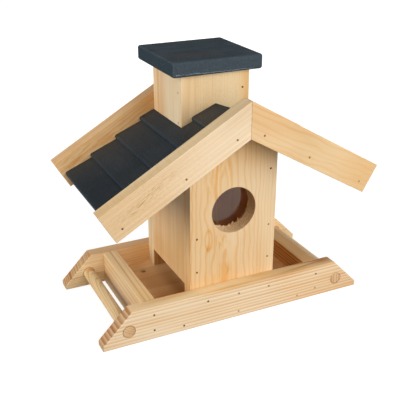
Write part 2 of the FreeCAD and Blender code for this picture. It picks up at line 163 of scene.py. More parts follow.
# what all pine has in common: cycles per metre of its noises, the last along the grain, and how they show
wood = {
    "slowBend": (9, 9, 3.2),
    "quickBend": (48, 48, 26),
    "fibre": (900, 900, 22),
    "strand": (330, 330, 9),
    "broad": (22, 22, 5),
    "strandShift": 0.0009,
    "unevenScale": 0.55,
    "lateFull": 0.90,
    "lateEnd": (0.93, 1.0, 1.0, 0.0),
    "lateFade": (0.25, 0.55, 0.6, 1.0),
    "flushEdge": (0.42, 0.72),
    "flushShare": 0.55,
    "fibreTone": (0.16, 0.92),
    "strandEdge": (0.60, 0.78),
    "strandTone": -0.07,
    "endLineShare": 0.75,
    "fibreRough": (0.2, 0.46),
    "endRough": 0.12,
    "lateHeight": 0.35,
    "fibreHeight": 0.5,
    "endEdge": (0.35, 0.62),
    "bump": (0.35, 0.0004),
    "specular": 0.2,
}


# growth rings of a softwood board: Vector is measured from the pith, with z along the grain
def makePineGrain():
    tree, given, out = newGroup(
        "pineGrain",
        {
            "Vector": "vector",
            "Ring Width": "float",
            "Near": "float",
            "Tighten": "float",
            "Waver": "float",
            "Ripple": "float",
            "Late Start": "float",
            "Line Depth": "float",
            "Year Spread": "float",
            "Uneven": "float",
            "Figure": "float",
            "Seed": "float",
            "End": "float",
            "End Tone": "float",
            "Early": "colour",
            "Late": "colour",
            "Flush": "colour",
            "End Line": "colour",
        },
        {"Color": "colour", "Roughness": "float", "Height": "float"},
    )
    place = given["Vector"]
    shift = addNode(tree, "ShaderNodeCombineXYZ")
    feed(tree, shift.inputs[2], given["Seed"])
    seeded = vectorCalc(tree, "ADD", place, shift.outputs[0])
    # slow bends of the trunk, then the small waves of each year
    slow = stretchedNoise(tree, seeded, wood["slowBend"], detail=1.5)
    quick = stretchedNoise(tree, seeded, wood["quickBend"], detail=1.0)
    bent = place
    for wave, reach in ((slow, given["Waver"]), (quick, given["Ripple"])):
        bend = vectorCalc(tree, "SUBTRACT", wave["Color"], noiseMiddle)
        size = addNode(tree, "ShaderNodeCombineXYZ")
        feed(tree, size.inputs[0], reach)
        feed(tree, size.inputs[1], reach)
        bent = vectorCalc(tree, "ADD", bent, vectorCalc(tree, "MULTIPLY", bend, size.outputs[0]))
    fibre = stretchedNoise(tree, seeded, wood["fibre"], detail=2.0)[0]
    strand = stretchedNoise(tree, seeded, wood["strand"], detail=1.0)[0]
    broad = stretchedNoise(tree, seeded, wood["broad"], detail=2.0)[0]
    # years counted outwards from the pith, closer together as the tree grew old
    radius = vectorCalc(tree, "LENGTH", vectorCalc(tree, "MULTIPLY", bent, (1, 1, 0)))
    radius = calc(tree, "MULTIPLY_ADD", strand, wood["strandShift"], radius)
    years = calc(tree, "DIVIDE", calc(tree, "SUBTRACT", radius, given["Near"]), given["Ring Width"])
    years = calc(tree, "ADD", years, given["Figure"])
    closer = calc(tree, "MULTIPLY_ADD", calc(tree, "MAXIMUM", years, 0.0), given["Tighten"], 1.0)
    years = calc(tree, "MULTIPLY", years, closer)
    uneven = addNode(tree, "ShaderNodeTexNoise", noise_dimensions="1D")
    feed(tree, uneven.inputs["W"], calc(tree, "ADD", years, given["Seed"]))
    feed(tree, uneven.inputs["Scale"], wood["unevenScale"])
    feed(tree, uneven.inputs["Detail"], 1.0)
    years = calc(tree, "MULTIPLY_ADD", uneven.outputs[0], given["Uneven"], years)
    # late wood darkens towards the end of each year, some years and places less than others
    share = calc(tree, "FRACT", years)
    rise = ramp(tree, share, given["Late Start"], wood["lateFull"])
    late = calc(tree, "MULTIPLY", rise, ramp(tree, share, *wood["lateEnd"]))
    yearTone = addNode(tree, "ShaderNodeTexWhiteNoise", noise_dimensions="1D")
    feed(tree, yearTone.inputs["W"], calc(tree, "FLOOR", years))
    weaker = calc(tree, "MULTIPLY", yearTone.outputs["Value"], given["Year Spread"])
    late = calc(tree, "MULTIPLY", late, calc(tree, "SUBTRACT", 1.0, weaker))
    late = calc(tree, "MULTIPLY", late, ramp(tree, broad, *wood["lateFade"]))
    # colour
    lines = calc(tree, "MULTIPLY", late, given["Line Depth"], clamp=True)
    colour = blendColour(tree, lines, given["Early"], given["Late"])
    flush = calc(tree, "MULTIPLY", ramp(tree, broad, *wood["flushEdge"]), wood["flushShare"])
    colour = tinted(tree, flush, colour, given["Flush"])
    tone = calc(tree, "MULTIPLY_ADD", fibre, *wood["fibreTone"])
    tone = calc(tree, "MULTIPLY_ADD", ramp(tree, strand, *wood["strandEdge"]), wood["strandTone"], tone)
    tone = calc(tree, "MULTIPLY_ADD", given["End"], given["End Tone"], tone)
    grey = blendColour(tree, tone, (0, 0, 0, 1), (1, 1, 1, 1))
    colour = blendColour(tree, 1.0, colour, grey, "MULTIPLY")
    endLate = calc(tree, "MULTIPLY", given["End"], calc(tree, "MULTIPLY", late, wood["endLineShare"]))
    feed(tree, out["Color"], blendColour(tree, endLate, colour, given["End Line"]))
    # end grain is rougher, late wood and fibres stand a little proud
    rough = calc(tree, "MULTIPLY_ADD", fibre, *wood["fibreRough"])
    feed(tree, out["Roughness"], calc(tree, "MULTIPLY_ADD", given["End"], wood["endRough"], rough))
    height = calc(tree, "MULTIPLY", fibre, wood["fibreHeight"])
    height = calc(tree, "MULTIPLY_ADD", late, wood["lateHeight"], height)
    feed(tree, out["Height"], calc(tree, "MULTIPLY_ADD", given["End"], fibre, height))
    return tree


pineGrain = makePineGrain()

# where these masks start and where they are full
fleckEdge = (0.48, 0.62)
facingEdge = (0.75, 0.95)


# soft patch about a point: 1 at its middle, fading out at its size, or a ring at its size if hollow,
# whole or broken into flecks
def patch(tree, position, spot):
    near = addNode(tree, "ShaderNodeMapping", vector_type="TEXTURE")
    feed(tree, near.inputs["Vector"], position)
    feed(tree, near.inputs["Location"], spot["at"])
    feed(tree, near.inputs["Rotation"], (0, spot.get("turn", 0.0), spot.get("spin", 0.0)))
    feed(tree, near.inputs["Scale"], spot["size"])
    span = vectorCalc(tree, "DOT_PRODUCT", near.outputs[0], near.outputs[0])
    if "hollow" in spot:
        off = calc(tree, "SUBTRACT", calc(tree, "SQRT", span), 1.0)
        off = calc(tree, "DIVIDE", off, spot["hollow"])
        span = calc(tree, "MULTIPLY", off, off)
    mask = bell(tree, span)
    if "flecks" in spot:
        speck = stretchedNoise(tree, near.outputs[0], spot["flecks"], detail=2.0)[0]
        mask = calc(tree, "MULTIPLY", mask, ramp(tree, speck, *fleckEdge))
    return mask


# distance from an axis that runs from front to back
def fromAxis(tree, position, at):
    away = vectorCalc(tree, "SUBTRACT", position, at)
    return vectorCalc(tree, "LENGTH", vectorCalc(tree, "MULTIPLY", away, (1, 0, 1)))


# thin ring, as the joint round a dowel's end
def ringMask(tree, position, ring):
    off = calc(tree, "SUBTRACT", fromAxis(tree, position, ring["at"]), ring["radius"])
    off = calc(tree, "DIVIDE", off, ring["width"])
    return bell(tree, calc(tree, "MULTIPLY", off, off))


# speckled wall of a hole sawn through a board, lighter where it faces up and darker at its sides as painted
# light and shade
def sawnBore(tree, position, normal, colour, bore):
    rim = [bore["radius"] + step for step in bore["rim"]]
    inside = ramp(tree, fromAxis(tree, position, bore["at"]), *rim, 1.0, 0.0)
    level = calc(tree, "ABSOLUTE", vectorCalc(tree, "DOT_PRODUCT", normal, (0, 1, 0)))
    wall = calc(tree, "MULTIPLY", inside, ramp(tree, level, *bore["levelEdge"], 1.0, 0.0))
    speck = stretchedNoise(tree, position, bore["speck"], detail=3.0)[0]
    sawn = blendColour(tree, ramp(tree, speck, *bore["speckEdge"]), srgb(bore["dark"]), srgb(bore["light"]))
    upward = ramp(tree, vectorCalc(tree, "DOT_PRODUCT", normal, (0, 0, 1)), *bore["upEdge"])
    shade = blendColour(tree, upward, bore["beside"], bore["below"])
    return blendColour(tree, wall, colour, blendColour(tree, 1.0, sawn, shade, "MULTIPLY"))


# mask for the faces that look one way
def facing(tree, normal, direction):
    return ramp(tree, vectorCalc(tree, "DOT_PRODUCT", normal, direction), *facingEdge)


# what a board has unless its own entry says otherwise
plainBoard = {
    "lean": (0, 0, 0), "near": 0.0, "tighten": 0.0, "waver": 0.003, "ripple": 0.0006, "lateStart": 0.3,
    "yearSpread": 0.5, "uneven": 1.7, "seed": 0.0, "lineDepth": 0.8, "endTone": -0.16,
    "flush": "#F2DCBE", "endLine": "#A8724A",
    "islands": (), "calm": (), "stainsAndShade": (), "faces": {}, "joints": (),
}


def pineMaterial(name, changes):
    board = {**plainBoard, **changes}
    material, tree = newMaterial(name)
    coords = addNode(tree, "ShaderNodeTexCoord").outputs
    position = coords["Object"]
    normal = coords["Normal"]
    grain = Vector(board["grain"]).normalized()
    heart = (grain + Vector(board["lean"])).to_track_quat("Z", "Y").to_euler()
    turned = addNode(tree, "ShaderNodeMapping", vector_type="TEXTURE")
    feed(tree, turned.inputs["Vector"], position)
    feed(tree, turned.inputs["Location"], board["pith"])
    feed(tree, turned.inputs["Rotation"], heart)
    along = vectorCalc(tree, "DOT_PRODUCT", normal, tuple(grain))
    frayed = position
    if "fray" in board:
        torn = stretchedNoise(tree, position, board["frayScale"], detail=2.0)["Color"]
        torn = vectorCalc(tree, "SUBTRACT", torn, noiseMiddle)
        frayed = vectorCalc(tree, "ADD", position, vectorCalc(tree, "MULTIPLY", torn, board["fray"]))

    def maskOf(spot):
        return patch(tree, frayed if spot.get("ragged") else position, spot)

    figure = 0.0
    for spot in board["islands"]:
        figure = calc(tree, "MULTIPLY_ADD", maskOf(spot), spot["rings"], figure)
    lineDepth = board["lineDepth"]
    for spot in board["calm"]:
        lineDepth = calc(tree, "MULTIPLY_ADD", maskOf(spot), -spot["less"], lineDepth)
    made = useGroup(tree, pineGrain, {
        "Vector": turned.outputs[0],
        "Ring Width": board["ringWidth"],
        "Near": board["near"],
        "Tighten": board["tighten"],
        "Waver": board["waver"],
        "Ripple": board["ripple"],
        "Late Start": board["lateStart"],
        "Line Depth": lineDepth,
        "Year Spread": board["yearSpread"],
        "Uneven": board["uneven"],
        "Figure": figure,
        "Seed": board["seed"],
        "End": ramp(tree, calc(tree, "ABSOLUTE", along), *wood["endEdge"]),
        "End Tone": board["endTone"],
        "Early": srgb(board["early"]),
        "Late": srgb(board["late"]),
        "Flush": srgb(board["flush"]),
        "End Line": srgb(board["endLine"]),
    })
    # tint patches and face tints: stains and figure, and also painted shade and painted light where a board
    # lists them so
    masks = [(maskOf(spot), spot["tint"]) for spot in board["stainsAndShade"]]
    masks += [(facing(tree, normal, way), tint) for way, tint in board["faces"].items()]
    masks += [(ringMask(tree, position, ring), ring["tint"]) for ring in board["joints"]]
    colour = made["Color"]
    for mask, tint in masks:
        colour = tinted(tree, mask, colour, srgb(tint))
    if "bore" in board:
        colour = sawnBore(tree, position, normal, colour, board["bore"])
    principled(tree, {
        "Base Color": colour,
        "Roughness": made["Roughness"],
        "Normal": bumped(tree, made["Height"], *wood["bump"]),
        "Specular IOR Level": wood["specular"],
    })
    return material


def dress(nodeName, material):
    mesh = nodes[nodeName].data
    if not mesh.materials:
        mesh.materials.append(material)
    for index in range(len(mesh.materials)):
        mesh.materials[index] = material


slope = math.radians(30)
downLeft = (-math.cos(slope), 0, -math.sin(slope))
downRight = (math.cos(slope), 0, -math.sin(slope))
upLeft = (-math.sin(slope), 0, math.cos(slope))

# one entry for each board: where the heart of the tree lay, which way the grain runs, how the wood looks
# islands bend the rings, calm spots fade the lines, tint patches darken the wood, some as stains and figure
# and others as painted shade, ragged ones follow the fray; face tints on long grain are painted light and
# shade
boards = {
    "front_rail": {
        "grain": (1, 0, 0), "lean": (0, 0.010, 0.001), "pith": (0.05, -0.078, 0.25), "ringWidth": 0.0056,
        "near": 0.2035, "tighten": 0.02, "waver": 0.0025, "ripple": 0.0003, "lateStart": 0.05, "seed": 1.3,
        "yearSpread": 0.3, "uneven": 0.7, "early": "#F6E1C0", "late": "#DEA86A", "lineDepth": 0.98,
        "endTone": -0.27, "endLine": "#9C6844",
        # the top face's tint is painted shade
        "faces": {(0, 0, 1): "#FAFAEE", (-0.716, 0, 0.698): "#FCE8D2", (0.716, 0, 0.698): "#FCE8D2"},
        "calm": [
            {"at": (-0.12, -0.092, 0.02), "size": (0.07, 0.02, 0.06), "less": 0.34},
            {"at": (0.14, -0.092, 0.02), "size": (0.06, 0.02, 0.06), "less": 0.25},
        ],
        "stainsAndShade": [
            {"at": (0.17, -0.092, 0.02), "size": (0.05, 0.05, 0.06), "tint": "#F8F2EA"},
            {"at": (-0.045, -0.092, 0.022), "size": (0.05, 0.02, 0.016), "tint": "#FCF7F0"},
            {"at": (0.085, -0.082, 0.047), "size": (0.055, 0.03, 0.004), "tint": "#F0DFC4"},
            {"at": (0.035, -0.076, 0.047), "size": (0.02, 0.006, 0.004), "tint": "#F4E6CC"},
            {"at": (-0.01, -0.090, 0.047), "size": (0.04, 0.004, 0.004), "tint": "#F0E0C2"},
            {"at": (0.139, -0.0795, 0.047), "size": (0.019, 0.008, 0.004), "tint": "#D0AA82"},
            {
                "at": (0.112, -0.0755, 0.047), "size": (0.03, 0.002, 0.003),
                "spin": -0.04, "tint": "#D2AC80",
            },
            {
                "at": (0.108, -0.083, 0.047), "size": (0.032, 0.0016, 0.003),
                "spin": 0.1, "tint": "#DAB68E",
            },
            {
                "at": (-0.09, -0.077, 0.047), "size": (0.05, 0.005, 0.004),
                "spin": 0.04, "tint": "#F4E2C8",
            },
        ],
        "joints": [
            {"at": (-0.155, 0, 0.0205), "radius": 0.0081, "width": 0.0006, "tint": "#AE8462"},
            {"at": (0.155, 0, 0.02), "radius": 0.0081, "width": 0.0005, "tint": "#CBA480"},
        ],
    },
    "back_rail": {
        "grain": (1, 0, 0), "lean": (0, 0.006, 0.012), "pith": (0, 0.105, -0.13), "ringWidth": 0.0027,
        "waver": 0.004, "early": "#FFE4B4", "late": "#DAA268", "lineDepth": 0.6, "seed": 4.1,
        "endTone": -0.36, "endLine": "#94623E",
        # the back face and the top are darker by their tints: painted shade
        "faces": {(0, 1, 0): "#F3E6DC", (0, 0, 1): "#E6DDD0", (-0.716, 0, 0.698): "#FFEAD8"},
        "stainsAndShade": [
            {"at": (-0.06, 0.073, 0.03), "size": (0.06, 0.05, 0.06), "tint": "#EACFAE"},
            {"at": (0.165, 0.073, 0.03), "size": (0.045, 0.015, 0.05), "tint": "#EFE4D9"},
        ],
        "joints": [
            {"at": (-0.155, 0, 0.02), "radius": 0.0081, "width": 0.0006, "tint": "#B58F70"},
            {"at": (0.155, 0, 0.02), "radius": 0.0081, "width": 0.0006, "tint": "#B58F70"},
        ],
    },
    "left_batten": {
        "grain": (0, 1, 0), "lean": (0.012, 0, 0.01), "pith": (-0.17, 0, 0.0), "ringWidth": 0.0053,
        "waver": 0.0014, "ripple": 0.0003, "lateStart": 0.62, "seed": 2.2, "yearSpread": 0.3, "uneven": 0.8,
        "early": "#F0D6AC", "late": "#D08C42", "lineDepth": 0.78,
        # the outer side and the top are toned by their tints: painted shade
        "faces": {(-1, 0, 0): "#F6F4F0", (0, 0, 1): "#FAF4E4"},
        "stainsAndShade": [{"at": (-0.122, -0.072, 0.04), "size": (0.05, 0.06, 0.06), "tint": "#F5EBDD"}],
    },
    "right_batten": {
        "grain": (0, 1, 0), "lean": (0.02, 0, 0), "pith": (0.122, 0, -0.05), "ringWidth": 0.0044,
        "waver": 0.0015, "ripple": 0.0003, "lateStart": 0.3, "seed": 7.9, "yearSpread": 0.2, "uneven": 0.6,
        "early": "#EBCA9A", "late": "#B0733A", "lineDepth": 0.85,
        # the inner side, in shade, and the top are darker by their tints: painted shade
        "faces": {(-1, 0, 0): "#ECD2AC", (0, 0, 1): "#DED0B6"},
    },
    "left_perch": {
        "grain": (0, 1, 0), "lean": (0.03, 0, 0.02), "pith": (-0.135, 0, 0.05), "ringWidth": 0.004,
        "waver": 0.003, "lateStart": 0.5, "seed": 3.4,
        "early": "#EAD3A8", "late": "#CE984C", "lineDepth": 0.9,
        "islands": [{"at": (-0.150, 0.074, 0.026), "size": (0.012, 0.036, 0.02), "rings": 3.2}],
        "stainsAndShade": [
            {"at": (-0.147, -0.075, 0.02), "size": (0.012, 0.05, 0.02), "tint": "#EEDABF"},
            {"at": (-0.157, -0.092, 0.014), "size": (0.014, 0.004, 0.006), "tint": "#FAF0F6"},
        ],
        "faces": {(0, -1, 0): "#FCF8F8"}, "endTone": 0.1, "endLine": "#D6B494",
    },
    "right_perch": {
        "grain": (0, 1, 0), "lean": (-0.02, 0, 0.03), "pith": (0.2, 0, 0.024), "ringWidth": 0.0042,
        "waver": 0.002, "early": "#E6CBA0", "late": "#C3905A", "lineDepth": 0.72, "seed": 8.6,
        "faces": {(0, -1, 0): "#F6ECE6"}, "endTone": 0.06, "endLine": "#C49474",
    },
    "floor_board": {
        "grain": (1, 0, 0), "lean": (0, 0, 0.012), "pith": (0, 0.01, -0.05), "ringWidth": 0.0045,
        "waver": 0.005, "early": "#FAD6A2", "late": "#DAAA72", "lineDepth": 0.42, "seed": 5.7,
        "stainsAndShade": [
            # painted shade: the left tray darker next to the hopper and its wall, the right tray darker,
            # the drain hole's wall dark
            {"at": (-0.07, -0.06, 0.019), "size": (0.045, 0.085, 0.03), "tint": "#DEC6A8"},
            {"at": (-0.054, -0.02, 0.019), "size": (0.012, 0.06, 0.03), "tint": "#DCC8AE"},
            {"at": (0.08, 0, 0.019), "size": (0.04, 0.12, 0.03), "tint": "#E6C8A0"},
            {"at": (-0.083, 0.045, 0.009), "size": (0.0036, 0.0036, 0.014), "tint": "#5A3A20"},
        ],
    },
    "front_panel": {
        "grain": (0, 0, 1), "lean": (0, 0.012, 0), "pith": (-0.012, -0.043, 0.125), "ringWidth": 0.0072,
        "near": 0.0302, "tighten": 0.06, "waver": 0.0050, "ripple": 0.0080, "lateStart": 0.5, "seed": 6.0,
        "yearSpread": 0.3, "uneven": 0.25, "early": "#ECD0A7", "late": "#E4A85A", "lineDepth": 0.6,
        "calm": [
            {"at": (0.062, -0.073, 0.13), "size": (0.032, 0.05, 0.2), "less": 0.24},
            {"at": (-0.022, -0.073, 0.195), "size": (0.026, 0.05, 0.05), "less": 0.2},
        ],
        "fray": (0.006, 0.0, 0.03), "frayScale": (190, 190, 26),
        "islands": [
            {"at": (-0.036, -0.073, 0.113), "size": (0.0075, 0.03, 0.0180), "rings": 0.25},
            {
                "at": (-0.0235, -0.073, 0.222), "size": (0.0070, 0.03, 0.026),
                "rings": -0.4, "ragged": True,
            },
            {
                "at": (-0.011, -0.073, 0.048), "size": (0.0130, 0.03, 0.040),
                "rings": -0.13, "ragged": True,
            },
            {"at": (-0.004, -0.073, 0.205), "size": (0.005, 0.03, 0.03), "rings": -0.3, "ragged": True},
        ],
        "stainsAndShade": [
            {"at": (-0.05, -0.073, 0.12), "size": (0.045, 0.05, 0.2), "tint": "#FCF5EA"},
            {"at": (-0.025, -0.073, 0.025), "size": (0.05, 0.05, 0.035), "tint": "#F5EFE0"},
            # painted shade: warmer and darker at the top under the gable
            {"at": (0.03, -0.073, 0.24), "size": (0.05, 0.05, 0.035), "tint": "#FFECD0"},
            {
                "at": (-0.0235, -0.073, 0.220), "size": (0.010, 0.03, 0.030),
                "flecks": (3.5, 1.0, 1.0), "tint": "#FCE8C2",
            },
            {
                "at": (-0.036, -0.073, 0.190), "size": (0.007, 0.03, 0.030),
                "flecks": (3.0, 1.0, 1.2), "tint": "#FCE8C2",
            },
            {
                "at": (-0.019, -0.073, 0.108), "size": (0.012, 0.03, 0.010),
                "flecks": (5.0, 1.0, 0.8), "tint": "#F8DCA8",
            },
            {
                "at": (-0.012, -0.073, 0.052), "size": (0.015, 0.03, 0.030),
                "flecks": (5.0, 1.0, 1.0), "tint": "#FBEDD0",
            },
            {
                "at": (-0.012, -0.073, 0.050), "size": (0.015, 0.03, 0.026),
                "ragged": True, "tint": "#FFF9EC",
            },
            {
                "at": (-0.036, -0.073, 0.113), "size": (0.0049, 0.03, 0.0136),
                "hollow": 0.22, "tint": "#FBE6C0",
            },
            {
                "at": (-0.015, -0.073, 0.188), "size": (0.011, 0.03, 0.036),
                "hollow": 0.14, "ragged": True, "tint": "#FCE8C6",
            },
            {
                "at": (-0.015, -0.073, 0.186), "size": (0.005, 0.03, 0.021),
                "hollow": 0.25, "ragged": True, "tint": "#FDEED4",
            },
            {"at": (-0.0364, -0.073, 0.102), "size": (0.0030, 0.03, 0.0040), "tint": "#FCECD0"},
            # painted shade on the panel's left edge: warmer in the eave's shadow at the top, darker lower
            # down beside the wall
            {"at": (-0.063, -0.062, 0.2), "size": (0.003, 0.01, 0.045), "tint": "#FFF0E2"},
            {"at": (-0.063, -0.062, 0.05), "size": (0.003, 0.01, 0.03), "tint": "#F6EEE4"},
        ],
        # the left edge's tint is painted shade as well
        "faces": {(-1, 0, 0): "#FFFAF2"},
        "bore": {
            "at": (0, 0, 0.149), "radius": 0.0315, "dark": "#CA9E6A", "light": "#ECCD9E",
            # beside and below shade the hole's wall: painted shade at its sides, painted light on its lower
            # wall
            "beside": (0.77, 0.65, 0.58, 1), "below": (1.16, 1.19, 1.28, 1), "upEdge": (0.0, 0.9),
            "rim": (0.0002, 0.0008), "levelEdge": (0.4, 0.8),
            "speck": (900, 420, 900), "speckEdge": (0.3, 0.7),
        },
    },
    "back_panel": {
        "grain": (0, 0, 1), "lean": (0.01, -0.04, 0), "pith": (0.01, 0.03, 0.1), "ringWidth": 0.006,
        "waver": 0.006, "early": "#F1DFC0", "late": "#DFB276", "lineDepth": 0.8, "seed": 9.1,
        # tints by direction: the inner face darker as painted shade inside the hopper, the back face and
        # left edge toned as painted light
        "faces": {(0, -1, 0): "#DFB880", (0, 1, 0): "#FBEEDC", (-1, 0, 0): "#F7F4E6"},
    },
    "left_wall": {
        "grain": (0, 0, 1), "lean": (0, 0.006, 0), "pith": (-0.05, 0.14, 0), "ringWidth": 0.0029,
        "waver": 0.003, "lateStart": 0.5, "seed": 2.8,
        # light base with the lower wall darkened by the two lower patches, so the upper wall in the eave's
        # shadow reads lighter: painted light; the top patch warms that shadow and the inner face's tint
        # darkens the inside of the hopper: painted shade
        "early": "#FFDCAE", "late": "#E6AC6C", "lineDepth": 0.85,
        "faces": {(1, 0, 0): "#E0AE7E"},
        "stainsAndShade": [
            {"at": (-0.062, -0.04, 0.205), "size": (0.03, 0.05, 0.04), "tint": "#FFF8F0"},
            {"at": (-0.062, -0.045, 0.075), "size": (0.03, 0.07, 0.065), "tint": "#E6E6DA"},
            {"at": (-0.062, 0.03, 0.06), "size": (0.03, 0.05, 0.028), "tint": "#EAE4D4"},
        ],
    },
    "right_wall": {
        "grain": (0, 0, 1), "lean": (0, 0.02, 0), "pith": (0.02, 0.02, 0), "ringWidth": 0.005,
        "waver": 0.005, "early": "#E6C498", "late": "#CD9C62", "lineDepth": 0.8, "seed": 5.2,
        # the inner face's tint is painted shade inside the hopper
        "faces": {(-1, 0, 0): "#E0AE7E"},
    },
    "front_left_bargeboard": {
        "grain": downLeft, "lean": (0, 0, 0.006), "pith": (-0.09, -0.13, 0.08), "ringWidth": 0.0026,
        "waver": 0.0012, "ripple": 0.0003, "lateStart": 0.15, "seed": 1.9,
        # the top edge's tint is painted shade
        "early": "#F5E0C0", "late": "#E2B98C", "lineDepth": 0.6, "faces": {upLeft: "#F2F0E4"},
        "stainsAndShade": [
            {"at": (-0.2, -0.112, 0.165), "size": (0.13, 0.05, 0.13), "tint": "#F2E5D2"},
            {"at": (-0.025, -0.112, 0.295), "size": (0.05, 0.05, 0.022), "tint": "#F5F6F6"},
            {
                "at": (-0.12, -0.112, 0.21), "size": (0.09, 0.03, 0.03), "turn": -0.52,
                "flecks": (24.0, 1.0, 44.0), "tint": "#F9F0DE",
            },
            {
                "at": (-0.136, -0.112, 0.2045), "size": (0.04, 0.02, 0.0055), "turn": -0.64,
                "flecks": (3.2, 1.0, 7.0), "tint": "#D6C49C",
            },
        ],
    },
    "front_right_bargeboard": {
        "grain": downRight, "lean": (0.02, 0.02, 0.035), "pith": (0.106, -0.092, 0.266),
        "ringWidth": 0.0066, "waver": 0.008, "ripple": 0.0070, "lateStart": 0.5, "seed": 3.3,
        "yearSpread": 0.5, "uneven": 1.2,
        "early": "#E9CA9E", "late": "#E6A95E", "lineDepth": 0.5,
        "stainsAndShade": [
            {"at": (0.175, -0.112, 0.185), "size": (0.05, 0.05, 0.05), "tint": "#F6EAD6"},
            {"at": (0.095, -0.112, 0.24), "size": (0.04, 0.05, 0.04), "tint": "#F8F6F0"},
        ],
    },
    "back_left_bargeboard": {
        "grain": downLeft, "lean": (0, 0.06, 0.02), "pith": (-0.12, 0.098, 0.19), "ringWidth": 0.0046,
        "waver": 0.007, "ripple": 0.003, "lateStart": 0.4, "seed": 4.8, "yearSpread": 0.3,
        "early": "#FFD49A", "late": "#ECA25C", "lineDepth": 0.6,
        "fray": (0.012, 0.0, 0.008), "frayScale": (70, 70, 150),
        "islands": [
            {
                "at": (-0.165, 0.073, 0.196), "size": (0.026, 0.03, 0.007),
                "turn": -0.5, "rings": 0.9, "ragged": True,
            },
            {
                "at": (-0.118, 0.073, 0.214), "size": (0.022, 0.03, 0.006),
                "turn": -0.46, "rings": 0.8, "ragged": True,
            },
        ],
        # the top edge's tint is painted shade
        "faces": {upLeft: "#DCDADA"},
        "stainsAndShade": [
            # painted shadow of the lid and chimney
            {"at": (-0.052, 0.073, 0.268), "size": (0.04, 0.05, 0.05), "tint": "#DACCB8"},
            {
                "at": (-0.155, 0.073, 0.200), "size": (0.04, 0.03, 0.010), "turn": -0.52,
                "flecks": (1.5, 1.0, 3.0), "tint": "#F5DDBF",
            },
            {
                "at": (-0.105, 0.073, 0.226), "size": (0.045, 0.03, 0.010), "turn": -0.52,
                "flecks": (1.5, 1.0, 3.0), "tint": "#F8E6D0",
            },
        ],
    },
    "back_right_bargeboard": {
        "grain": downRight, "lean": (0, 0.02, 0), "pith": (0.09, 0.12, 0.05), "ringWidth": 0.003,
        "waver": 0.003, "early": "#EDD2A6", "late": "#D8A76C", "lineDepth": 0.7, "seed": 6.6,
    },
    "chimney_front": {
        "grain": (0, 0, 1), "lean": (0.004, 0, 0), "pith": (-0.16, -0.01, 0), "ringWidth": 0.0024,
        "waver": 0.0016, "ripple": 0.0003, "lateStart": 0.2, "seed": 7.1, "yearSpread": 0.3, "uneven": 0.9,
        "early": "#EED4A9", "late": "#E0BA86", "lineDepth": 0.42,
        "stainsAndShade": [
            {"at": (0.0475, -0.018, 0.27), "size": (0.012, 0.03, 0.2), "tint": "#F8E4C2"},
            {
                "at": (0, -0.018, 0.27), "size": (0.06, 0.03, 0.06),
                "flecks": (75.0, 1.0, 15.0), "tint": "#FBF3E2",
            },
        ],
    },
    "chimney_left": {
        "grain": (0, 0, 1), "lean": (0, 0.012, 0), "pith": (-0.075, -0.16, 0), "ringWidth": 0.0042,
        "waver": 0.003, "lateStart": 0.3, "seed": 8.2, "yearSpread": 0.3, "uneven": 1.0,
        "early": "#F2DFBE", "late": "#E2C096", "lineDepth": 0.42,
        # the left face and the front edge are toned by their tints: painted light and shade
        "faces": {(-1, 0, 0): "#F8FAFA", (0, -1, 0): "#FFF8EA"},
        "stainsAndShade": [{"at": (-0.048, 0.047, 0.27), "size": (0.03, 0.01, 0.2), "tint": "#F6E2CE"}],
    },
    "chimney_right": {
        "grain": (0, 0, 1), "lean": (0, 0.01, 0), "pith": (0.13, 0.04, 0), "ringWidth": 0.003,
        "waver": 0.003, "early": "#EDD0A4", "late": "#D5A970", "lineDepth": 0.7, "seed": 1.1,
    },
    "chimney_back": {
        "grain": (0, 0, 1), "lean": (0.01, 0.03, 0), "pith": (0, 0.02, 0), "ringWidth": 0.005,
        "waver": 0.005, "early": "#EBCDA0", "late": "#D9A466", "lineDepth": 0.8, "seed": 2.5,
    },
    "lid_plug": {
        "grain": (1, 0, 0), "lean": (0, 0.02, 0), "pith": (0, 0.03, 0.26), "ringWidth": 0.004,
        "waver": 0.003, "early": "#EBCFA2", "late": "#D6A76E", "lineDepth": 0.8, "seed": 9.7,
    },
}
for nodeName, board in boards.items():
    dress(nodeName, pineMaterial("pine_" + nodeName, board))
print("pine boards dressed:", len(boards))


# what all the paint has in common: cycles per metre of its noises and how they show
coatLook = {
    "brushShare": 0.5,
    "cloudShare": 0.5,
    "toneEdge": (0.3, 0.7),
    "faceShare": (0.8, 1.0),
    "mottleScale": 430,
    "mottle": (0.3, 0.7, 0.90, 1.10),
    "speckScale": 600,
    "speckEdge": (0.75, 0.82),
    "speckyScale": 22,
    "specky": (0.4, 0.6, 0.0, 0.26),
    "speckTint": "#8C9296",
    "gritScale": 1500,
    "gritHeight": 0.3,
    "brushRough": 0.2,
    "bump": (0.5, 0.0006),
}


